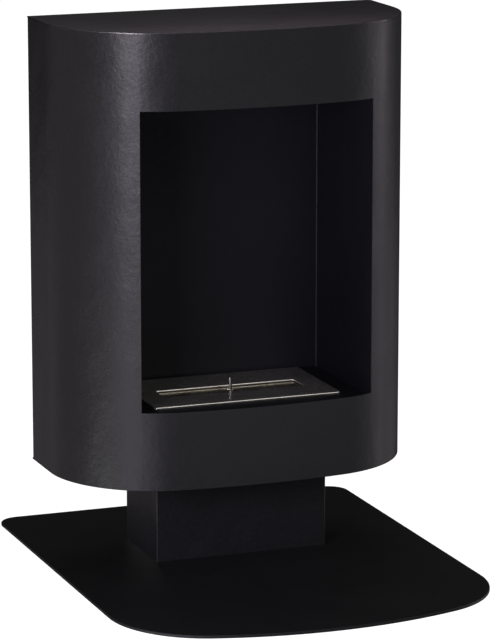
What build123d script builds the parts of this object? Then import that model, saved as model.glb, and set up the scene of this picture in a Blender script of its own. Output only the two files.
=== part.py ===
from build123d import *
import math
import os

# Free-standing bioethanol fireplace. A D-shaped sheet-steel body with a curved
# front and an open firebox stands on a rectangular pedestal column, which is
# bolted to a flat D-shaped floor plate. A stainless burner tray drops into a
# cut-out in the firebox floor and has a sliding damper with a pin.
#
# Millimetres. +Z up, the front faces -Y, X across. The origin is on the floor,
# at the centre of the floor plate's footprint.

os.makedirs("parts", exist_ok=True)

# ---------------------------------------------------------------- dimensions
# body shell
BODY_W = 600.0            # width over the jacket
BODY_BACK = 233.0         # y of the body's back plane
SIDE_STRAIGHT = 97.0      # flat run of each side, forward of the back plane
CORNER_R = 182.0          # plan radius of the front corners
FRONT_R = 1080.0          # plan radius of the front face
JACKET_T = 2.0
Z_BODY = 147.5            # underside of the body
Z_TOP = 885.5             # top of the body
ROOF_T = 2.0
BOTTOM_T = 3.0
REAR_T = 1.5
REAR_W = 588.0
FLANGE_IN = 24.0          # width of the jacket's folded back flanges

# opening in the front
OPEN_W = 395.5
OPEN_Z0 = 276.0
OPEN_Z1 = 761.5

# firebox
FB_T = 1.5
FB_BACK = 211.0           # y of the inner face of the back wall
FB_BEND = 3.0             # inside bend radius of its back corners
FLOOR_Z = 269.5           # top of the firebox floor
FLOOR_T = 2.0
HEM = 12.0                # height of the floor's turned-down hem
CEIL_Z = 763.0            # inner face of the ceiling

# burner
BP_W, BP_D = 324.0, 192.0   # top plate
BP_Y = 109.5                # its centre
BP_Z0 = 269.7               # its underside
BP_T = 3.0
SLOT_W, SLOT_D = 243.0, 50.0
SLOT_Y = 99.0
STACK = 3.4                 # gap between top plate and deck
DECK_T = 1.5
DECK_W, DECK_D = 297.0, 167.0
TANK_W, TANK_D, TANK_H, TANK_T = 294.0, 164.0, 60.0, 1.2
CUT_W, CUT_D = 306.0, 178.0   # cut-out in the firebox floor
WELL_T = 1.2
WELL_Z0 = 192.5

# damper: drawn about a quarter open
DAMP_W, DAMP_D, DAMP_T = 259.0, 66.0, 2.0
DAMP_FRONT = 87.0
PIN_Y = 99.0
PIN_R = 2.5
PIN_H = 22.6                # above the damper

# pedestal
PED_W, PED_D, PED_T = 297.0, 152.0, 2.5
PED_FRONT = 46.0
PED_FLANGE_T = 5.0

# floor plate
BASE_T = 5.0
BASE_HW = 316.5
BASE_Y = 394.0              # half of its depth
BASE_RB = 35.0
BASE_RF = 163.0
BASE_R = 667.0


# ------------------------------------------------------------------- helpers
def box(x0, x1, y0, y1, z0, z1):
    return Pos((x0 + x1) / 2, (y0 + y1) / 2, (z0 + z1) / 2) * Box(x1 - x0, y1 - y0, z1 - z0)


def cyl(x, y, z0, z1, r):
    return Pos(x, y, (z0 + z1) / 2) * Cylinder(r, z1 - z0)


def cyl_y(x, z, y0, y1, r):
    return Pos(x, (y0 + y1) / 2, z) * Rot(90, 0, 0) * Cylinder(r, y1 - y0)


def hexagon(x, y, z0, z1, af, bore):
    # hexagonal nut or bolt head across flats af, its outer corners chamfered
    r = af / math.sqrt(3)
    body = Pos(x, y, z0) * extrude(RegularPolygon(r, 6), amount=z1 - z0)
    cone = Pos(x, y, (z0 + z1) / 2) * Cylinder(r * 0.985, z1 - z0)
    cone = chamfer(cone.edges(), min(0.6, (z1 - z0) * 0.2))
    body = body & cone
    if bore:
        body = body - cyl(x, y, z0 - 1, z1 + 1, bore)
    return body


def on_circle(cx, cy, r, a):
    return (cx + r * math.cos(a), cy + r * math.sin(a))


def d_face(t, y_back):
    # plan of the body, offset inwards by t, closed along y = y_back
    hw = BODY_W / 2 - t
    r, big = CORNER_R - t, FRONT_R - t
    cx = BODY_W / 2 - CORNER_R
    cy = BODY_BACK - SIDE_STRAIGHT
    yc = cy + math.sqrt((FRONT_R - CORNER_R) ** 2 - cx ** 2)
    a = math.atan2(cy - yc, cx)              # direction to the tangent point
    p = on_circle(0, yc, big, a)
    m = on_circle(cx, cy, r, a / 2)
    front = (0, yc - big)
    e = [
        Line((-hw, y_back), (hw, y_back)),
        Line((hw, y_back), (hw, cy)),
        ThreePointArc((hw, cy), m, p),
        ThreePointArc(p, front, (-p[0], p[1])),
        ThreePointArc((-p[0], p[1]), (-m[0], m[1]), (-hw, cy)),
        Line((-hw, cy), (-hw, y_back)),
    ]
    return make_face(Wire(e))


def base_face():
    hw, yb = BASE_HW, BASE_Y
    # front corner circle, placed so that the front arc ends at y = -BASE_Y
    cx = hw - BASE_RF
    yc = -BASE_Y + BASE_R
    cy = yc - math.sqrt((BASE_R - BASE_RF) ** 2 - cx ** 2)
    a = math.atan2(cy - yc, cx)
    p = on_circle(0, yc, BASE_R, a)
    m = on_circle(cx, cy, BASE_RF, a / 2)
    b = BASE_RB
    q = on_circle(hw - b, yb - b, b, math.pi / 4)
    e = [
        Line((-hw + b, yb), (hw - b, yb)),
        ThreePointArc((hw - b, yb), q, (hw, yb - b)),
        Line((hw, yb - b), (hw, cy)),
        ThreePointArc((hw, cy), m, p),
        ThreePointArc(p, (0, -BASE_Y), (-p[0], p[1])),
        ThreePointArc((-p[0], p[1]), (-m[0], m[1]), (-hw, cy)),
        Line((-hw, cy), (-hw, yb - b)),
        ThreePointArc((-hw, yb - b), (-q[0], q[1]), (-hw + b, yb)),
    ]
    return make_face(Wire(e))


def prism(face, z0, z1):
    return Pos(0, 0, z0) * extrude(face, amount=z1 - z0, dir=(0, 0, 1))


def rect(x0, x1, y0, y1):
    return Pos((x0 + x1) / 2, (y0 + y1) / 2) * Rectangle(x1 - x0, y1 - y0)


def rrect(w, d, r, x=0.0, y=0.0):
    return Pos(x, y) * RectangleRounded(w, d, r)


written = {}


def save(name, shape):
    solids = shape.solids() if not isinstance(shape, (list, tuple)) else [s for q in shape for s in q.solids()]
    out = solids[0] if len(solids) == 1 else Compound(children=list(solids))
    out.label = name
    export_step(out, "parts/" + name + ".step")
    written[name] = (len(solids), sum(s.volume for s in solids))


# ---------------------------------------------------------------- floor plate
FOOT_XY = [(x, y) for x in (-120.0, 0.0, 120.0) for y in (68.0, 174.0)]
base = prism(base_face(), 0, BASE_T)
base = fillet(base.edges().group_by(Axis.Z)[-1], 1.4)
base = chamfer(base.edges().group_by(Axis.Z)[0], 0.3)
for x, y in FOOT_XY:
    base -= cyl(x, y, -1, BASE_T + 1, 3.2)
    base -= Pos(x, y, 1.55) * Cone(6.4, 3.2, 3.1)
save("base_plate", base)

screws = []
for x, y in FOOT_XY:
    s = Pos(x, y, 0.3 + 1.5) * Cone(6.0, 3.0, 3.0)
    s += cyl(x, y, 3.3, 17.0, 3.0)
    s -= Pos(x, y, 0.3) * extrude(RegularPolygon(2.3, 6), amount=2.0)
    screws.append(s)
save("foot_screws", screws)
z_fn = BASE_T + PED_FLANGE_T
save("foot_nuts", [hexagon(x, y, z_fn, z_fn + 5.0, 10.0, 3.05) for x, y in FOOT_XY])

# ------------------------------------------------------------------- pedestal
PED_Y = PED_FRONT + PED_D / 2
col = prism(rrect(PED_W, PED_D, 2.8, 0, PED_Y) - rrect(PED_W - 2 * PED_T, PED_D - 2 * PED_T, 0.5, 0, PED_Y), BASE_T, Z_BODY)
save("pedestal_column", col)
fl_w, fl_d = PED_W - 2 * PED_T - 0.4, PED_D - 2 * PED_T - 0.4
foot = prism(rrect(fl_w, fl_d, 1.0, 0, PED_Y), BASE_T, BASE_T + PED_FLANGE_T)
for x, y in FOOT_XY:
    foot -= cyl(x, y, 0, 20, 3.2)
foot -= box(-70, -30, PED_Y - 25, PED_Y + 25, 0, 20)
foot -= box(30, 70, PED_Y - 25, PED_Y + 25, 0, 20)
save("pedestal_foot_flange", foot)

HEAD_XY = [(x, y) for x in (-115.0, 115.0) for y in (75.0, 167.0)]
head = prism(rrect(fl_w, fl_d, 1.0, 0, PED_Y), Z_BODY - PED_FLANGE_T, Z_BODY)
for x, y in HEAD_XY:
    head -= cyl(x, y, 100, 200, 4.5)
head -= prism(rrect(150, 80, 10, 0, PED_Y), 100, 200)
save("pedestal_head_flange", head)

zb = Z_BODY + BOTTOM_T
save("head_washers", [cyl(x, y, zb, zb + 1.6, 8.0) - cyl(x, y, zb - 1, zb + 3, 4.2) for x, y in HEAD_XY])
bolts = []
for x, y in HEAD_XY:
    b = hexagon(x, y, zb + 1.6, zb + 6.9, 13.0, None)
    b += chamfer(cyl(x, y, 130.0, zb + 1.6, 4.0).edges().group_by(Axis.Z)[0], 0.8)
    bolts.append(b)
save("head_bolts", bolts)
save("head_nuts", [hexagon(x, y, Z_BODY - PED_FLANGE_T - 6.5, Z_BODY - PED_FLANGE_T, 13.0, 4.05) for x, y in HEAD_XY])

# ----------------------------------------------------------------- body shell
bottom = prism(d_face(0, BODY_BACK), Z_BODY, zb)
bottom = fillet(bottom.edges().group_by(Axis.Z)[0], 0.8)
for x, y in HEAD_XY:
    bottom -= cyl(x, y, 100, 200, 4.5)
for i in range(-3, 4):
    bottom -= prism(rrect(5, 44, 2.4, i * 22.0, 0.0), 100, 200)
save("bottom_panel", bottom)

roof = prism(d_face(0, BODY_BACK), Z_TOP - ROOF_T, Z_TOP)
roof = fillet(roof.edges().group_by(Axis.Z)[-1], 1.3)
save("top_panel", roof)

jb = BODY_BACK - REAR_T                       # back plane of the jacket
SCREW_Z = [171.0, 310.0, 449.0, 588.0, 727.0, 863.0]
REAR_Z0, REAR_Z1 = 153.5, 880.5
SCREW_X = BODY_W / 2 - 14.0
plan = d_face(0, jb) - d_face(JACKET_T, jb - JACKET_T)
plan -= rect(-(BODY_W / 2 - FLANGE_IN), BODY_W / 2 - FLANGE_IN, jb - JACKET_T - 0.5, jb + 1)
jacket = prism(plan, zb, Z_TOP - ROOF_T)
corner = jacket.edges().filter_by(Axis.Z).filter_by(lambda e: abs(e.center().Y - jb) < 0.01 and abs(abs(e.center().X) - BODY_W / 2) < 0.01)
jacket = fillet(corner, 2.6)
inner = jacket.edges().filter_by(Axis.Z).filter_by(lambda e: abs(e.center().Y - (jb - JACKET_T)) < 0.01 and abs(abs(e.center().X) - (BODY_W / 2 - JACKET_T)) < 0.01)
jacket = fillet(inner, 0.6)


def on_mouth(e):
    # edges round the opening on the outer skin of the jacket
    c = e.center()
    if abs(c.X) > OPEN_W / 2 + 0.5 or not OPEN_Z0 - 0.5 < c.Z < OPEN_Z1 + 0.5:
        return False
    yc = BODY_BACK - SIDE_STRAIGHT + math.sqrt((FRONT_R - CORNER_R) ** 2 - (BODY_W / 2 - CORNER_R) ** 2)
    pts = [e.position_at(t) for t in (0.0, 0.5, 1.0)]
    return all(skin_gap(p, yc) < 0.02 for p in pts)


def skin_gap(p, yc):
    # distance of a point from the jacket's outer skin at the front
    big = abs(math.hypot(p.X, p.Y - yc) - FRONT_R)
    small = abs(math.hypot(abs(p.X) - (BODY_W / 2 - CORNER_R), p.Y - (BODY_BACK - SIDE_STRAIGHT)) - CORNER_R)
    return min(big, small) if p.Y < 0 else 99.0


hole = Pos(0, -60, (OPEN_Z0 + OPEN_Z1) / 2) * Rot(90, 0, 0) * extrude(RectangleRounded(OPEN_W, OPEN_Z1 - OPEN_Z0, 1.0), amount=80, both=True)
jacket -= hole
mouth = jacket.edges().filter_by(lambda e: on_mouth(e))
jacket = fillet(mouth, 0.6)
for sx in (-1, 1):
    for z in SCREW_Z:
        jacket -= cyl_y(sx * SCREW_X, z, jb - 5, jb + 5, 2.05)
save("front_jacket", jacket)

rear = Pos(0, jb, 0) * Rot(90, 0, 0) * Pos(0, (REAR_Z0 + REAR_Z1) / 2, 0) * RectangleRounded(REAR_W, REAR_Z1 - REAR_Z0, 4.0)
rear = extrude(rear, amount=REAR_T, dir=(0, 1, 0))
for sx in (-1, 1):
    for z in SCREW_Z:
        rear -= cyl_y(sx * SCREW_X, z, jb - 5, jb + 5, 2.3)


def vent(x, z, w, h):
    return Pos(x, jb, z) * Rot(90, 0, 0) * extrude(SlotOverall(w, h), amount=6, both=True)


for x in (-180.0, -90.0, 0.0, 90.0, 180.0):
    for z in (820.0, 835.0, 850.0, 184.0, 199.0):
        rear -= vent(x, z, 70.0, 6.0)
save("rear_panel", rear)

heads = []
for sx in (-1, 1):
    for z in SCREW_Z:
        h = cyl_y(sx * SCREW_X, z, BODY_BACK, BODY_BACK + 2.2, 3.8)
        rim = h.edges().group_by(Axis.Y)[-1]
        h = fillet(rim, 1.5)
        h -= Pos(sx * SCREW_X, BODY_BACK + 2.2, z) * Rot(90, 0, 0) * extrude(RegularPolygon(1.45, 6), amount=1.3, both=True)
        h += cyl_y(sx * SCREW_X, z, BODY_BACK - 8.0, BODY_BACK, 2.0)
        heads.append(h)
save("rear_panel_screws", heads)

# -------------------------------------------------------------------- firebox
hw = OPEN_W / 2
oy = FB_BACK + FB_T
inner_f = rect(-hw, hw, -200, FB_BACK)
outer_f = rect(-(hw + FB_T), hw + FB_T, -200, oy)
wrap2d = outer_f - inner_f
clip = d_face(JACKET_T, 400)
wrap2d = wrap2d & clip
# short flanges that lie along the inside of the jacket
ring = d_face(JACKET_T, 400) - d_face(JACKET_T + FB_T, 420)
wrap2d = wrap2d + (ring & rect(hw, hw + 18, -60, 60)) + (ring & rect(-hw - 18, -hw, -60, 60))
wrap = prism(wrap2d, FLOOR_Z - FLOOR_T - HEM, CEIL_Z)
e_in = wrap.edges().filter_by(Axis.Z).filter_by(lambda e: abs(e.center().Y - FB_BACK) < 0.01 and abs(abs(e.center().X) - hw) < 0.01)
wrap = fillet(e_in, FB_BEND)
e_out = wrap.edges().filter_by(Axis.Z).filter_by(lambda e: abs(e.center().Y - oy) < 0.01 and abs(abs(e.center().X) - (hw + FB_T)) < 0.01)
wrap = fillet(e_out, FB_BEND + FB_T)
save("firebox_wrap", wrap)

g = 0.1
floor2d = d_face(JACKET_T + g, 300) & rect(-(hw - g), hw - g, -100, FB_BACK - g)
floor = prism(floor2d, FLOOR_Z - FLOOR_T, FLOOR_Z)
in2d = d_face(JACKET_T + g + FB_T, 300) & rect(-(hw - g - FB_T), hw - g - FB_T, -100, FB_BACK - g - FB_T)
floor += prism(floor2d - in2d, FLOOR_Z - FLOOR_T - HEM, FLOOR_Z - FLOOR_T)
back_edges = floor.edges().filter_by(Axis.Z).filter_by(lambda e: abs(e.center().Y - (FB_BACK - g)) < 0.01)
floor = fillet(back_edges, FB_BEND)
floor -= prism(rrect(CUT_W, CUT_D, 8.0, 0, BP_Y), 200, 300)
save("firebox_floor", floor)

ceil2d = (d_face(JACKET_T + g, 300) & rect(-(hw + FB_T), hw + FB_T, -100, oy))
ceiling = prism(ceil2d, CEIL_Z, CEIL_Z + FB_T)
lip2d = (d_face(JACKET_T + g, 300) - d_face(JACKET_T + g + FB_T, 320)) & rect(-190, 190, -100, 0)
ceiling += prism(lip2d, CEIL_Z + FB_T, CEIL_Z + 15)
save("firebox_ceiling", ceiling)

RAIL_X0, RAIL_X1, RAIL_T = 180.0, 194.0, 1.5
for name, sx in (("floor_rail_left", -1), ("floor_rail_right", 1)):
    rz1 = FLOOR_Z - FLOOR_T
    a, b = sorted((sx * RAIL_X0, sx * RAIL_X1))
    r = box(a, b, 20, 200, zb, rz1)
    c, d = sorted((sx * (RAIL_X0 + RAIL_T), sx * (RAIL_X1 + 5)))
    r -= box(c, d, 10, 210, zb + RAIL_T, rz1 - RAIL_T)
    v = r.edges().filter_by(Axis.Y).filter_by(lambda e: abs(abs(e.center().X) - RAIL_X0) < 0.01)
    r = fillet(v, 2.0)
    for y in (65.0, 110.0, 155.0):
        r -= Pos(sx * RAIL_X0, y, (zb + rz1) / 2) * Rot(0, 90, 0) * Cylinder(13, 10)
    save(name, r)

# burner well: an open box hung under the cut-out, which would catch a spill
wx, wy0, wy1 = 157.0, BP_Y - 92.0, BP_Y + 92.0
zw = FLOOR_Z - FLOOR_T - WELL_T
outer_w = prism(rrect(2 * (wx + WELL_T), wy1 - wy0 + 2 * WELL_T, 7.2, 0, BP_Y), WELL_Z0, zw)
outer_w = fillet(outer_w.edges().group_by(Axis.Z)[0], 4.2)
inner_w = prism(rrect(2 * wx, wy1 - wy0, 6.0, 0, BP_Y), WELL_Z0 + WELL_T, zw + 5)
inner_w = fillet(inner_w.edges().group_by(Axis.Z)[0], 3.0)
well = outer_w - inner_w
rim = prism(rrect(2 * (wx + WELL_T + 9), 2 * 99.0, 4.0, 0, BP_Y + 0.5) - rrect(2 * wx, wy1 - wy0, 6.0, 0, BP_Y), zw, zw + WELL_T)
well += rim
save("burner_well", well)

# --------------------------------------------------------------------- burner
z_top = BP_Z0 + BP_T
plate = prism(rrect(BP_W, BP_D, 5.0, 0, BP_Y) - rrect(SLOT_W, SLOT_D, 2.5, 0, SLOT_Y), BP_Z0, z_top)
plate = fillet(plate.edges().group_by(Axis.Z)[-1], 2.4)      # rounded rims, which catch the light
save("burner_top_plate", plate)

z_deck = BP_Z0 - STACK                         # top of the deck
deck = prism(rrect(DECK_W, DECK_D, 9.0, 0, BP_Y) - rrect(SLOT_W + 4, 58.0, 3.0, 0, SLOT_Y), z_deck - DECK_T, z_deck)
save("burner_deck", deck)

zt1 = z_deck - DECK_T
zt0 = zt1 - TANK_H
ot = prism(rrect(TANK_W, TANK_D, 8.0, 0, BP_Y), zt0, zt1)
ot = fillet(ot.edges().group_by(Axis.Z)[0], 3.2)
it = prism(rrect(TANK_W - 2 * TANK_T, TANK_D - 2 * TANK_T, 6.8, 0, BP_Y), zt0 + TANK_T, zt1 + 5)
it = fillet(it.edges().group_by(Axis.Z)[0], 2.0)
save("burner_tank", ot - it)

zd0 = z_deck + 0.3                             # underside of the damper
zd1 = zd0 + DAMP_T
guides = []
for sx in (-1, 1):
    x0, x1 = sorted((sx * (DAMP_W / 2 + 0.3), sx * (DAMP_W / 2 + 10)))
    gd = box(x0, x1, 40, 180, z_deck, BP_Z0)
    gd = chamfer(gd.edges().filter_by(Axis.Z), 1.5)
    guides.append(gd)
save("damper_guides", guides)
save("deck_spacers", [box(-120, 120, 32, 42, z_deck, BP_Z0), box(-120, 120, 180, 190, z_deck, BP_Z0)])

wool = prism(rrect(TANK_W - 2 * TANK_T - 1, TANK_D - 2 * TANK_T - 1, 6.0, 0, BP_Y), zt0 + TANK_T + 0.2, zt1 - 15.0)
wool = fillet(wool.edges().group_by(Axis.Z)[0], 2.5)
wool = fillet(wool.edges().group_by(Axis.Z)[-1], 2.0)
save("ceramic_wool", wool)

scr = rrect(TANK_W - 2 * TANK_T - 0.6, TANK_D - 2 * TANK_T - 0.6, 6.0, 0, BP_Y)
for i in range(-5, 6):
    for j in range(7):
        scr -= Pos(i * 21.0, SLOT_Y - 33.0 + j * 11.0) * SlotOverall(16.0, 5.0)
save("wool_screen", prism(scr, zt1 - 14.7, zt1 - 13.9))

# --------------------------------------------------------------------- damper
dy = DAMP_FRONT + DAMP_D / 2
damper = prism(rrect(DAMP_W, DAMP_D, 3.0, 0, dy), zd0, zd1)
damper = fillet(damper.edges().group_by(Axis.Z)[-1], 0.4)
damper -= cyl(0, PIN_Y, 200, 300, PIN_R + 0.05)
save("damper_plate", damper)

pin = cyl(0, PIN_Y, zd0 - 5.0, zd1 + PIN_H, PIN_R)
pin = fillet(pin.edges().group_by(Axis.Z)[-1], 1.2)
pin = chamfer(pin.edges().group_by(Axis.Z)[0], 0.5)
save("damper_pin", pin)
save("damper_pin_nuts", [
    hexagon(0, PIN_Y, zd1, zd1 + 1.8, 10.0, PIN_R + 0.05),
    hexagon(0, PIN_Y, zd0 - 4.0, zd0, 8.0, PIN_R + 0.05),
])

for k, (n, v) in written.items():
    print(f"{k:24s} solids {n:2d}  {v / 1000:10.2f} cm3")
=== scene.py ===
import bpy
import bmesh
import math
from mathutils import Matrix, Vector, noise


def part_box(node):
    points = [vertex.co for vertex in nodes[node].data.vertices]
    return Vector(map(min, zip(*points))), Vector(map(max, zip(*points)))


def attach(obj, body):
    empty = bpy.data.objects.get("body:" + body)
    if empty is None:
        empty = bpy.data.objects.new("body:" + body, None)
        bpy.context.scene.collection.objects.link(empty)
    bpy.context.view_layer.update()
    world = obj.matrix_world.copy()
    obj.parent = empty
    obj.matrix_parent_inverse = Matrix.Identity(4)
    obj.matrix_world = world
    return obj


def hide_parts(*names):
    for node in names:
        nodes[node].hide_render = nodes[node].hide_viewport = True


# Bioethanol fireplace: materials, a few detailed pieces, floor, light and camera
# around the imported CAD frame. Metres, row frame.

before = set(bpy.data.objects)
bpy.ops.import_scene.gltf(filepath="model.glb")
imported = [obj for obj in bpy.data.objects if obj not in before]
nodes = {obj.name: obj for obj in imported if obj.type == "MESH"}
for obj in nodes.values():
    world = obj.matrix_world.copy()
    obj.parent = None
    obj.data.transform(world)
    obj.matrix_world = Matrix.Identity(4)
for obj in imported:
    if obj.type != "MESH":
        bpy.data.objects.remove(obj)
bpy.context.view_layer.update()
scene = bpy.context.scene
scene.view_settings.view_transform = "Standard"
scene.view_settings.look = "None"


# ------------------------------------------------------------------ node tools
class Nodes:
    """A new material with one Principled shader, and short calls that add nodes to it."""

    def __init__(self, name, **sockets):
        self.mat = bpy.data.materials.new(name)
        self.mat.use_nodes = True
        self.nt = self.mat.node_tree
        self.nt.nodes.clear()
        self.out = self.add("ShaderNodeOutputMaterial")
        self.p = self.add("ShaderNodeBsdfPrincipled")
        self.nt.links.new(self.p.outputs[0], self.out.inputs[0])
        for k, v in sockets.items():
            self.p.inputs[k.replace("_", " ")].default_value = v
        self.co = self.add("ShaderNodeTexCoord").outputs["Object"]

    def add(self, kind, **props):
        n = self.nt.nodes.new(kind)
        for k, v in props.items():
            setattr(n, k, v)
        return n

    def link(self, a, b):
        self.nt.links.new(a, b)

    def put(self, socket, v):
        if isinstance(v, bpy.types.NodeSocket):
            self.link(v, socket)
        else:
            socket.default_value = v

    def scaled(self, sx, sy, sz, co=None):
        m = self.add("ShaderNodeMapping")
        self.link(co or self.co, m.inputs["Vector"])
        m.inputs["Scale"].default_value = (sx, sy, sz)
        return m.outputs[0]

    def noise(self, scale, detail=2.0, rough=0.5, co=None, distortion=0.0):
        n = self.add("ShaderNodeTexNoise")
        self.link(co or self.co, n.inputs["Vector"])
        n.inputs["Scale"].default_value = scale
        n.inputs["Detail"].default_value = detail
        n.inputs["Roughness"].default_value = rough
        n.inputs["Distortion"].default_value = distortion
        return n.outputs["Fac"]

    def voronoi(self, scale, co=None, feature="F1", out="Distance"):
        n = self.add("ShaderNodeTexVoronoi", feature=feature)
        self.link(co or self.co, n.inputs["Vector"])
        n.inputs["Scale"].default_value = scale
        return n.outputs[out]

    def span(self, v, a, b, c, d, clamp=True):
        n = self.add("ShaderNodeMapRange", clamp=clamp)
        self.link(v, n.inputs["Value"])
        for k, x in zip(("From Min", "From Max", "To Min", "To Max"), (a, b, c, d)):
            n.inputs[k].default_value = x
        return n.outputs["Result"]

    def math(self, op, a, b=0.0):
        n = self.add("ShaderNodeMath", operation=op)
        self.put(n.inputs[0], a)
        self.put(n.inputs[1], b)
        return n.outputs[0]

    def mix(self, fac, a, b):
        n = self.add("ShaderNodeMix", data_type="RGBA")
        self.put(n.inputs["Factor"], fac)
        ca, cb = [s for s in n.inputs if s.type == "RGBA"]
        self.put(ca, a if isinstance(a, bpy.types.NodeSocket) else (*a, 1.0))
        self.put(cb, b if isinstance(b, bpy.types.NodeSocket) else (*b, 1.0))
        return [s for s in n.outputs if s.type == "RGBA"][0]

    def axis(self, which, co=None):
        n = self.add("ShaderNodeSeparateXYZ")
        self.link(co or self.co, n.inputs[0])
        return n.outputs[which]

    def bump(self, height, strength, distance, normal=None):
        n = self.add("ShaderNodeBump")
        n.inputs["Strength"].default_value = strength
        n.inputs["Distance"].default_value = distance
        self.link(height, n.inputs["Height"])
        if normal is not None:
            self.link(normal, n.inputs["Normal"])
        return n.outputs[0]

    def colour(self, v):
        self.link(v, self.p.inputs["Base Color"])

    def rough(self, v):
        self.link(v, self.p.inputs["Roughness"])

    def normal(self, v):
        self.link(v, self.p.inputs["Normal"])


# ------------------------------------------------------------------- materials
def powder_coat(name, dark, light, rough, peel=1.0, spec=0.5, wave=1.0, bead=None):
    """Sprayed and baked powder on thin sheet: a fine orange peel, mottled gloss and colour, small dust pips,
    and the slight waviness that shows where the light catches the sheet. bead=(z0, z1) is a rounded edge,
    where the powder flows thin and cures smoother."""
    m = Nodes(name, Specular_IOR_Level=spec)
    peel_n = m.noise(430.0, 3.0, 0.55)
    grain = m.noise(1500.0, 2.0, 0.6)
    cloud = m.noise(9.0, 3.0, 0.55)
    mottle = m.noise(190.0, 4.0, 0.6)
    pips = m.span(m.voronoi(260.0), 0.0, 0.10, 1.0, 0.0)
    tone = m.math("ADD", m.math("MULTIPLY", peel_n, 0.35), m.math("MULTIPLY", mottle, 0.45))
    tone = m.math("ADD", tone, m.math("MULTIPLY", cloud, 0.20))
    m.colour(m.mix(m.span(tone, 0.35, 0.65, 0.0, 1.0), dark, light))
    r = m.math("ADD", m.span(mottle, 0.3, 0.7, rough - 0.035, rough + 0.035), m.span(cloud, 0.3, 0.7, -0.02, 0.02))
    if bead:
        r = m.math("SUBTRACT", r, m.span(m.axis(2), bead[0], bead[1], 0.17, 0.0))
    m.rough(r)
    h = m.math("ADD", m.math("MULTIPLY", peel_n, 0.75), m.math("MULTIPLY", grain, 0.25))
    h = m.math("ADD", h, m.math("MULTIPLY", pips, 0.25))
    swell = m.bump(m.noise(13.0, 1.5, 0.5), wave, 0.0026)
    sheet = m.bump(m.noise(95.0, 2.5, 0.62, distortion=0.15), wave, 0.00053, normal=swell)
    m.normal(m.bump(h, 0.9 * peel, 0.00009, normal=sheet))
    return m.mat


def matt_paint(name, dark, light, rough, scale=1.0, spec=0.35):
    """Matt heat-resistant paint: sandy grain and faint runs."""
    m = Nodes(name, Specular_IOR_Level=spec)
    grain = m.noise(900.0 * scale, 3.0, 0.65)
    mottle = m.noise(120.0 * scale, 4.0, 0.6)
    cloud = m.noise(7.0, 3.0, 0.5, co=m.scaled(1.0, 1.0, 0.45))
    tone = m.math("ADD", m.math("MULTIPLY", grain, 0.4), m.math("MULTIPLY", cloud, 0.6))
    m.colour(m.mix(m.span(tone, 0.35, 0.65, 0.0, 1.0), dark, light))
    m.rough(m.math("ADD", m.span(mottle, 0.3, 0.7, rough - 0.05, rough + 0.05), m.span(cloud, 0.3, 0.7, -0.03, 0.03)))
    m.normal(m.bump(grain, 0.6, 0.00010))
    return m.mat


def brushed(name, dark, light, rough, along="x", fine=1.0, smudge=0.5, bump=0.25, aniso=0.0, metallic=1.0):
    """Sheet metal with its grain along one axis, finger smudges and small scratches."""
    m = Nodes(name, Metallic=metallic)
    if aniso:
        m.p.inputs["Anisotropic"].default_value = aniso
    s = {"x": (9.0, 1400.0, 1400.0), "y": (1400.0, 9.0, 1400.0), "z": (1400.0, 1400.0, 9.0)}[along]
    line = m.noise(1.0 * fine, 3.0, 0.6, co=m.scaled(*s))
    s2 = {"x": (3.0, 420.0, 420.0), "y": (420.0, 3.0, 420.0), "z": (420.0, 420.0, 3.0)}[along]
    wide = m.noise(1.0 * fine, 2.0, 0.5, co=m.scaled(*s2))
    cloud = m.noise(26.0, 4.0, 0.6, distortion=0.6)
    tone = m.math("ADD", m.math("MULTIPLY", line, 0.45), m.math("MULTIPLY", cloud, 0.35))
    tone = m.math("ADD", tone, m.math("MULTIPLY", wide, 0.20))
    m.colour(m.mix(m.span(tone, 0.35, 0.65, 0.0, 1.0), dark, light))
    r = m.math("ADD", m.span(line, 0.3, 0.7, rough - 0.05, rough + 0.06), m.span(cloud, 0.35, 0.7, -0.05 * smudge, 0.10 * smudge))
    m.rough(r)
    m.normal(m.bump(line, bump, 0.00003))
    return m.mat


def heat_tint(name, straw, bronze, rough, metallic=1.0):
    """Stainless that a flame has tinted: straw to bronze in soft bands."""
    m = Nodes(name, Metallic=metallic)
    line = m.noise(1.0, 3.0, 0.6, co=m.scaled(9.0, 1300.0, 1300.0))
    cloud = m.noise(34.0, 4.0, 0.6, distortion=1.2)
    fine = m.noise(700.0, 2.0, 0.5)
    tone = m.math("ADD", m.math("MULTIPLY", cloud, 0.65), m.math("MULTIPLY", line, 0.35))
    m.colour(m.mix(m.span(tone, 0.36, 0.64, 0.0, 1.0), straw, bronze))
    m.rough(m.math("ADD", m.span(cloud, 0.3, 0.7, rough - 0.05, rough + 0.07), m.span(line, 0.3, 0.7, -0.03, 0.03)))
    m.normal(m.bump(m.math("ADD", m.math("MULTIPLY", line, 0.7), m.math("MULTIPLY", fine, 0.3)), 0.25, 0.00003))
    return m.mat


def spangle(name, dark, light, rough):
    """Galvanised sheet: zinc crystals a few millimetres across."""
    m = Nodes(name, Metallic=1.0)
    cell = m.add("ShaderNodeTexVoronoi", feature="F1")
    m.link(m.co, cell.inputs["Vector"])
    cell.inputs["Scale"].default_value = 110.0
    grey = m.add("ShaderNodeRGBToBW")
    m.link(cell.outputs["Color"], grey.inputs[0])
    feather = m.noise(420.0, 3.0, 0.6, distortion=1.0)
    tone = m.math("ADD", m.math("MULTIPLY", grey.outputs[0], 0.6), m.math("MULTIPLY", feather, 0.4))
    m.colour(m.mix(m.span(tone, 0.25, 0.75, 0.0, 1.0), dark, light))
    m.rough(m.span(tone, 0.25, 0.75, rough - 0.08, rough + 0.10))
    m.normal(m.bump(feather, 0.25, 0.00004))
    return m.mat


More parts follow.
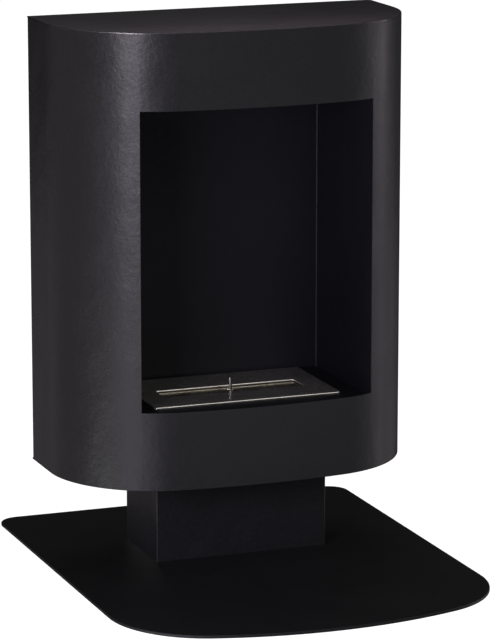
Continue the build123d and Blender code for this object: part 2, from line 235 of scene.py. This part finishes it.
def plated(name, dark, light, rough, metallic=1.0):
    """Turned or pressed fastener with plating: fine pits and a little tool marking."""
    m = Nodes(name, Metallic=metallic)
    fine = m.noise(1600.0, 3.0, 0.6)
    cloud = m.noise(240.0, 3.0, 0.5)
    m.colour(m.mix(m.span(cloud, 0.3, 0.7, 0.0, 1.0), dark, light))
    m.rough(m.span(fine, 0.3, 0.7, rough - 0.06, rough + 0.08))
    m.normal(m.bump(fine, 0.35, 0.00003))
    return m.mat


def fibre(name):
    """Ceramic fibre: matt white matted strands."""
    m = Nodes(name, Specular_IOR_Level=0.2)
    m.p.inputs["Sheen Weight"].default_value = 0.25
    m.p.inputs["Sheen Roughness"].default_value = 0.6
    strand = m.noise(230.0, 5.0, 0.7, distortion=3.5)
    cross = m.noise(520.0, 4.0, 0.65, distortion=4.0)
    cloud = m.noise(40.0, 3.0, 0.5)
    tone = m.math("ADD", m.math("MULTIPLY", strand, 0.5), m.math("ADD", m.math("MULTIPLY", cross, 0.3), m.math("MULTIPLY", cloud, 0.2)))
    m.colour(m.mix(m.span(tone, 0.35, 0.65, 0.0, 1.0), (0.56, 0.54, 0.50), (0.84, 0.83, 0.80)))
    m.rough(m.span(cross, 0.3, 0.7, 0.85, 1.0))
    m.normal(m.bump(m.math("ADD", strand, cross), 0.8, 0.0006))
    return m.mat


body_coat = powder_coat("body_coat", (0.0122, 0.0117, 0.0122), (0.0188, 0.0181, 0.0189), 0.40)
roof_coat = powder_coat("roof_coat", (0.0124, 0.0112, 0.0121), (0.0184, 0.0167, 0.0180), 0.42, spec=0.6, bead=(0.8851, 0.88545))
plate_coat = powder_coat("floor_plate_coat", (0.0050, 0.0048, 0.0054), (0.0080, 0.0077, 0.0086), 0.50, peel=1.2)
column_coat = powder_coat("column_coat", (0.0080, 0.0078, 0.0094), (0.0125, 0.0122, 0.0146), 0.45)
box_paint = matt_paint("firebox_paint", (0.0056, 0.0053, 0.0078), (0.0096, 0.0091, 0.0132), 0.55)
plate_steel = brushed("burner_plate_steel", (0.50, 0.470, 0.450), (0.62, 0.590, 0.570), 0.22, along="x", smudge=0.5, bump=0.08, metallic=0.86)
inner_steel = heat_tint("inner_steel", (0.46, 0.425, 0.34), (0.34, 0.30, 0.21), 0.32)
damper_steel = heat_tint("damper_steel", (0.54, 0.488, 0.37), (0.40, 0.353, 0.25), 0.20, metallic=0.95)
pin_steel = heat_tint("pin_steel", (0.26, 0.251, 0.226), (0.21, 0.197, 0.170), 0.34)
nut_steel = heat_tint("nut_steel", (0.28, 0.270, 0.243), (0.23, 0.215, 0.185), 0.27)
zinc = spangle("zinc_sheet", (0.34, 0.35, 0.36), (0.52, 0.53, 0.54), 0.38)
zinc_bolt = plated("zinc_plating", (0.46, 0.47, 0.48), (0.62, 0.62, 0.60), 0.30)
black_bolt = plated("black_oxide", (0.012, 0.012, 0.013), (0.030, 0.029, 0.028), 0.38, metallic=0.6)
wool_mat = fibre("ceramic_fibre")

LOOK = {
    "front_jacket": body_coat,
    "top_panel": roof_coat,
    "bottom_panel": body_coat,
    "rear_panel": body_coat,
    "pedestal_column": column_coat,
    "base_plate": plate_coat,
    "firebox_wrap": box_paint,
    "firebox_floor": box_paint,
    "firebox_ceiling": box_paint,
    "burner_top_plate": plate_steel,
    "burner_deck": inner_steel,
    "burner_tank": inner_steel,
    "damper_guides": inner_steel,
    "deck_spacers": inner_steel,
    "wool_screen": inner_steel,
    "damper_plate": damper_steel,
    "damper_pin": pin_steel,
    "damper_pin_nuts": nut_steel,
    "burner_well": zinc,
    "floor_rail_left": zinc,
    "floor_rail_right": zinc,
    "pedestal_foot_flange": zinc,
    "pedestal_head_flange": zinc,
    "foot_screws": zinc_bolt,
    "foot_nuts": zinc_bolt,
    "head_bolts": zinc_bolt,
    "head_washers": zinc_bolt,
    "head_nuts": zinc_bolt,
    "rear_panel_screws": black_bolt,
    "ceramic_wool": wool_mat,
}
for name, obj in nodes.items():
    obj.data.materials.clear()
    obj.data.materials.append(LOOK[name])

# turned edges of the damper's nuts
round_nut = nodes["damper_pin_nuts"].modifiers.new("round", "BEVEL")
round_nut.width = 0.0006
round_nut.segments = 3
round_nut.limit_method = "ANGLE"
round_nut.angle_limit = math.radians(40.0)
round_nut.harden_normals = True


# ------------------------------------------------------------------ wool block
def wool_block():
    """The fibre filling as a packed block: a lumpy crowned top with tufts, in the space of its CAD solid."""
    lo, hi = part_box("ceramic_wool")
    lo, hi = Vector(lo), Vector(hi)
    step = 0.0022
    inset = 0.0015
    nx = int((hi.x - lo.x) / step)
    ny = int((hi.y - lo.y) / step)
    bm = bmesh.new()
    cx, cy = (lo.x + hi.x) / 2, (lo.y + hi.y) / 2
    hx, hy = (hi.x - lo.x) / 2 - inset, (hi.y - lo.y) / 2 - inset
    r = 0.007

    def place(i, j):
        # square grid pulled onto a rounded rectangle
        u, v = 2 * i / nx - 1, 2 * j / ny - 1
        x, y = u * hx, v * hy
        ex, ey = abs(x) - (hx - r), abs(y) - (hy - r)
        if ex > 0 and ey > 0:
            d = math.hypot(ex, ey)
            m = max(ex, ey)
            k = m / d if d > 1e-9 else 1.0
            x = math.copysign(hx - r + ex * k, x)
            y = math.copysign(hy - r + ey * k, y)
        return cx + x, cy + y

    def edge(i, j):
        x, y = place(i, j)
        return min(hx - abs(x - cx), hy - abs(y - cy))

    top = {}
    for i in range(nx + 1):
        for j in range(ny + 1):
            x, y = place(i, j)
            e = max(0.0, edge(i, j))
            drop = 0.0035 * (1 - min(1.0, e / 0.006)) ** 2
            p = Vector((x, y, 0.0))
            n = 0.55 * noise.noise(p * 60) + 0.30 * noise.noise(p * 170) + 0.25 * noise.noise(p * 420)
            z = hi.z - 0.0012 - drop + 0.0010 * max(-1.0, min(1.0, n))
            top[i, j] = bm.verts.new((x, y, z))
    low = {}
    rim = [(i, 0) for i in range(nx + 1)] + [(nx, j) for j in range(1, ny + 1)]
    rim += [(i, ny) for i in range(nx - 1, -1, -1)] + [(0, j) for j in range(ny - 1, 0, -1)]
    levels = 10
    ring = {0: [top[k] for k in rim]}
    z_top = hi.z - 0.0047
    for q in range(1, levels + 1):
        row = []
        for k in rim:
            x, y = place(*k)
            z = z_top + (lo.z + 0.0010 - z_top) * q / levels
            p = Vector((x, y, z))
            bulge = 0.0011 * noise.noise(p * 130) + 0.0004 * noise.noise(p * 420)
            tuck = 0.0018 * max(0.0, (q / levels - 0.85) / 0.15) ** 2
            d = Vector((x - cx, y - cy, 0.0))
            s = Vector((math.copysign(1.0, d.x) if hx - abs(d.x) < 0.004 else 0.0, math.copysign(1.0, d.y) if hy - abs(d.y) < 0.004 else 0.0, 0.0))
            s = s.normalized() if s.length else Vector((0, 0, 0))
            row.append(bm.verts.new((x + s.x * (bulge - tuck), y + s.y * (bulge - tuck), z)))
        ring[q] = row
    n_rim = len(rim)
    for i in range(nx):
        for j in range(ny):
            bm.faces.new((top[i, j], top[i + 1, j], top[i + 1, j + 1], top[i, j + 1]))
    for q in range(levels):
        for a in range(n_rim):
            b = (a + 1) % n_rim
            bm.faces.new((ring[q][a], ring[q + 1][a], ring[q + 1][b], ring[q][b]))
    bm.faces.new(list(reversed(ring[levels])))
    bmesh.ops.recalc_face_normals(bm, faces=bm.faces)
    mesh = bpy.data.meshes.new("wool_fill")
    bm.to_mesh(mesh)
    bm.free()
    for f in mesh.polygons:
        f.use_smooth = True
    obj = bpy.data.objects.new("wool_fill", mesh)
    scene.collection.objects.link(obj)
    obj.data.materials.append(wool_mat)
    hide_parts("ceramic_wool")
    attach(obj, "burner")
    return obj


wool_block()


# ----------------------------------------------------------------- floor, light
def floor():
    bm = bmesh.new()
    bmesh.ops.create_grid(bm, x_segments=24, y_segments=24, size=30.0)
    mesh = bpy.data.meshes.new("studio_floor")
    bm.to_mesh(mesh)
    bm.free()
    obj = bpy.data.objects.new("studio_floor", mesh)
    obj.location = (0, 0, -0.0004)
    scene.collection.objects.link(obj)
    m = Nodes("studio_floor", Roughness=0.9, Specular_IOR_Level=0.0)
    m.colour(m.mix(m.span(m.noise(0.7, 2.0, 0.5), 0.3, 0.7, 0.0, 1.0), (0.86, 0.86, 0.86), (0.90, 0.90, 0.90)))
    m.p.inputs["Emission Color"].default_value = (1, 1, 1, 1)
    m.p.inputs["Emission Strength"].default_value = 0.93
    obj.data.materials.append(m.mat)
    obj.visible_glossy = False
    obj.visible_diffuse = False
    obj.visible_shadow = False
    return obj


floor()


def flag(light, pieces):
    """Keeps a light to the named pieces, as a studio does with black cards."""
    lit = bpy.data.collections.new(light.name + "_lights")
    for piece in pieces:
        lit.objects.link(nodes[piece])
    light.light_linking.receiver_collection = lit


def card(light, pieces):
    """Keeps a light off the named pieces."""
    shaded = bpy.data.collections.new(light.name + "_card")
    for piece in pieces:
        shaded.objects.link(nodes[piece])
    for item in shaded.collection_objects:
        item.light_linking.link_state = "EXCLUDE"
    light.light_linking.receiver_collection = shaded


def softbox(name, az, el, dist, w, h, power, colour=(1, 1, 1), spread=180.0, at=(0.0, 0.1, 0.5), only=None):
    """A soft light at a direction from the point at, az 0 in front and +90 on the object's left side. only names
    the pieces that it is flagged for."""
    a, e = math.radians(az), math.radians(el)
    d = Vector((-math.sin(a) * math.cos(e), -math.cos(a) * math.cos(e), math.sin(e)))
    light = bpy.data.lights.new(name, "AREA")
    light.shape = "RECTANGLE"
    light.size, light.size_y = w, h
    light.energy = power
    light.color = colour
    light.spread = math.radians(spread)
    obj = bpy.data.objects.new(name, light)
    obj.location = Vector(at) + d * dist
    obj.rotation_mode = "QUATERNION"
    obj.rotation_quaternion = (-d).to_track_quat("-Z", "Y")
    obj.visible_camera = False
    scene.collection.objects.link(obj)
    if only:
        flag(obj, only)
    return obj


COOL = (1.045, 0.972, 1.147)
WARM = (1.063, 0.976, 1.050)
card(softbox("key", 43.5, 8.0, 2.6, 0.9, 0.9, 23.0, COOL), ["pedestal_column"])
softbox("key_low", 43.5, -14.0, 2.6, 0.9, 0.9, 1.5, COOL)
softbox("key_floor", 43.5, -32.0, 2.6, 0.9, 0.9, 5.2, COOL)
softbox("left_floor", 75.0, -34.0, 2.6, 0.9, 0.9, 8.4)
softbox("rim_right", -86.0, 10.0, 2.4, 0.35, 1.4, 5.0, WARM)
softbox("rim_right_front", -70.0, 5.0, 2.4, 0.35, 1.4, 1.2, WARM)
softbox("rim_right_low", -86.0, -20.0, 2.4, 0.35, 1.0, 1.7, WARM)
softbox("rim_back_low", -110.0, -20.0, 2.4, 0.35, 1.0, 0.66, WARM)
softbox("right_low", -62.0, -14.0, 2.4, 0.5, 1.6, 0.36)
softbox("back_left_low", 150.0, -18.0, 3.0, 1.2, 1.2, 0.88, WARM)
softbox("back_near", 175.0, 25.0, 1.1, 1.2, 0.3, 0.08, at=(0.0, 0.2, 0.9))
card(softbox("front_low", -20.0, -16.0, 3.0, 1.6, 1.0, 1.2), ["pedestal_column"])
softbox("front_high", -10.0, 35.0, 3.0, 1.6, 1.0, 3.4)
softbox("back", 180.0, 22.0, 2.6, 1.4, 1.2, 28.0, only=["rear_panel", "rear_panel_screws", "pedestal_column"])
roof_edge = softbox("roof_edge", 61.0, 50.0, 2.4, 1.1, 0.8, 110.0, (1.06, 0.975, 1.10), at=(0.0, 0.0, 0.85), only=["top_panel"])
roof_edge.visible_diffuse = False
softbox("burner_edge", -25.0, 36.0, 2.5, 1.1, 1.0, 6.2, (1.0, 1.0, 0.88), at=(0.0, 0.1, 0.28),
        only=["burner_top_plate", "damper_plate", "damper_pin_nuts"])
softbox("column_key", 48.0, 19.0, 2.5, 0.9, 0.7, 26.0, COOL, at=(0.0, 0.1, 0.1), only=["pedestal_column"])
for glint in (
    softbox("pin_glint", 80.0, -12.0, 2.5, 1.0, 0.5, 11.0, (1.0, 1.0, 0.90), at=(0.0, 0.1, 0.28), only=["damper_pin"]),
    softbox("nut_glint", -157.0, 12.8, 1.5, 0.9, 0.5, 1.7, (1.0, 1.0, 0.90), at=(0.0, 0.1, 0.28),
            only=["damper_pin_nuts"]),
):
    glint.data.use_shadow = False
    glint.data.cycles.use_multiple_importance_sampling = False


def panel(name, x, y, z, w, h, power, only, colour=(1, 1, 1)):
    """A small soft light close over the pieces in only. It faces straight down and makes no glint."""
    light = bpy.data.lights.new(name, "AREA")
    light.shape = "RECTANGLE"
    light.size, light.size_y = w, h
    light.energy = power
    light.color = colour
    obj = bpy.data.objects.new(name, light)
    obj.location = (x, y, z)
    obj.visible_camera = False
    obj.visible_glossy = False
    scene.collection.objects.link(obj)
    flag(obj, only)
    return obj


panel("roof_near", -0.05, -0.07, 1.02, 0.7, 0.10, 1.2, ["top_panel"], (1.08, 0.97, 1.07))

world = bpy.data.worlds.new("studio")
scene.world = world
world.use_nodes = True
wt = world.node_tree
wt.nodes.clear()
w_out = wt.nodes.new("ShaderNodeOutputWorld")
w_mix = wt.nodes.new("ShaderNodeMixShader")
w_path = wt.nodes.new("ShaderNodeLightPath")
w_dim = wt.nodes.new("ShaderNodeBackground")
w_pale = wt.nodes.new("ShaderNodeBackground")
w_pale.inputs["Color"].default_value = (1.0, 1.0, 1.0, 1)
w_pale.inputs["Strength"].default_value = 1.0
w_dim.inputs["Strength"].default_value = 1.0
w_dir = wt.nodes.new("ShaderNodeTexCoord").outputs["Generated"]


def lobe(total, az, el, inner, outer, strength, colour=(1, 1, 1)):
    """Adds a soft round patch of light in the studio's walls, by direction."""
    a, e = math.radians(az), math.radians(el)
    dot = wt.nodes.new("ShaderNodeVectorMath")
    dot.operation = "DOT_PRODUCT"
    wt.links.new(w_dir, dot.inputs[0])
    dot.inputs[1].default_value = (-math.sin(a) * math.cos(e), -math.cos(a) * math.cos(e), math.sin(e))
    fade = wt.nodes.new("ShaderNodeMapRange")
    fade.interpolation_type = "SMOOTHSTEP"
    wt.links.new(dot.outputs["Value"], fade.inputs["Value"])
    fade.inputs["From Min"].default_value = math.cos(math.radians(outer))
    fade.inputs["From Max"].default_value = math.cos(math.radians(inner))
    fade.inputs["To Min"].default_value = 0.0
    fade.inputs["To Max"].default_value = strength
    tint = wt.nodes.new("ShaderNodeVectorMath")
    tint.operation = "SCALE"
    tint.inputs[0].default_value = colour
    wt.links.new(fade.outputs["Result"], tint.inputs["Scale"])
    add = wt.nodes.new("ShaderNodeVectorMath")
    add.operation = "ADD"
    wt.links.new(tint.outputs[0], add.inputs[0])
    if isinstance(total, tuple):
        add.inputs[1].default_value = total
    else:
        wt.links.new(total, add.inputs[1])
    return add.outputs[0]


level = lobe((0.0, 0.0, 0.0), -15.0, -12.0, 15.0, 75.0, 0.136, (0.99, 0.99, 1.13))
level = lobe(level, 0.0, 80.0, 20.0, 75.0, 0.206)
level = lobe(level, 95.0, -10.0, 15.0, 70.0, 0.199, (1.061, 0.982, 0.992))
level = lobe(level, -95.0, -10.0, 15.0, 70.0, 0.053)
level = lobe(level, -159.0, 12.0, 5.0, 30.0, 0.010, (1.06, 0.98, 0.96))
wt.links.new(level, w_dim.inputs["Color"])
wt.links.new(w_path.outputs["Is Camera Ray"], w_mix.inputs[0])
wt.links.new(w_dim.outputs[0], w_mix.inputs[1])
wt.links.new(w_pale.outputs[0], w_mix.inputs[2])
wt.links.new(w_mix.outputs[0], w_out.inputs[0])

# ---------------------------------------------------------------------- camera
cam_data = bpy.data.cameras.new("camera")
cam = bpy.data.objects.new("camera", cam_data)
cam_data.sensor_width = 36.0
cam_data.sensor_fit = "AUTO"
cam_data.lens = 201.24
cam_data.clip_end = 100.0
cam.location = (-2.00793, -5.26388, 1.63909)
cam.rotation_euler = (math.radians(90.0 - 12.3314), 0.0, math.radians(-20.7673))
scene.collection.objects.link(cam)
scene.camera = cam
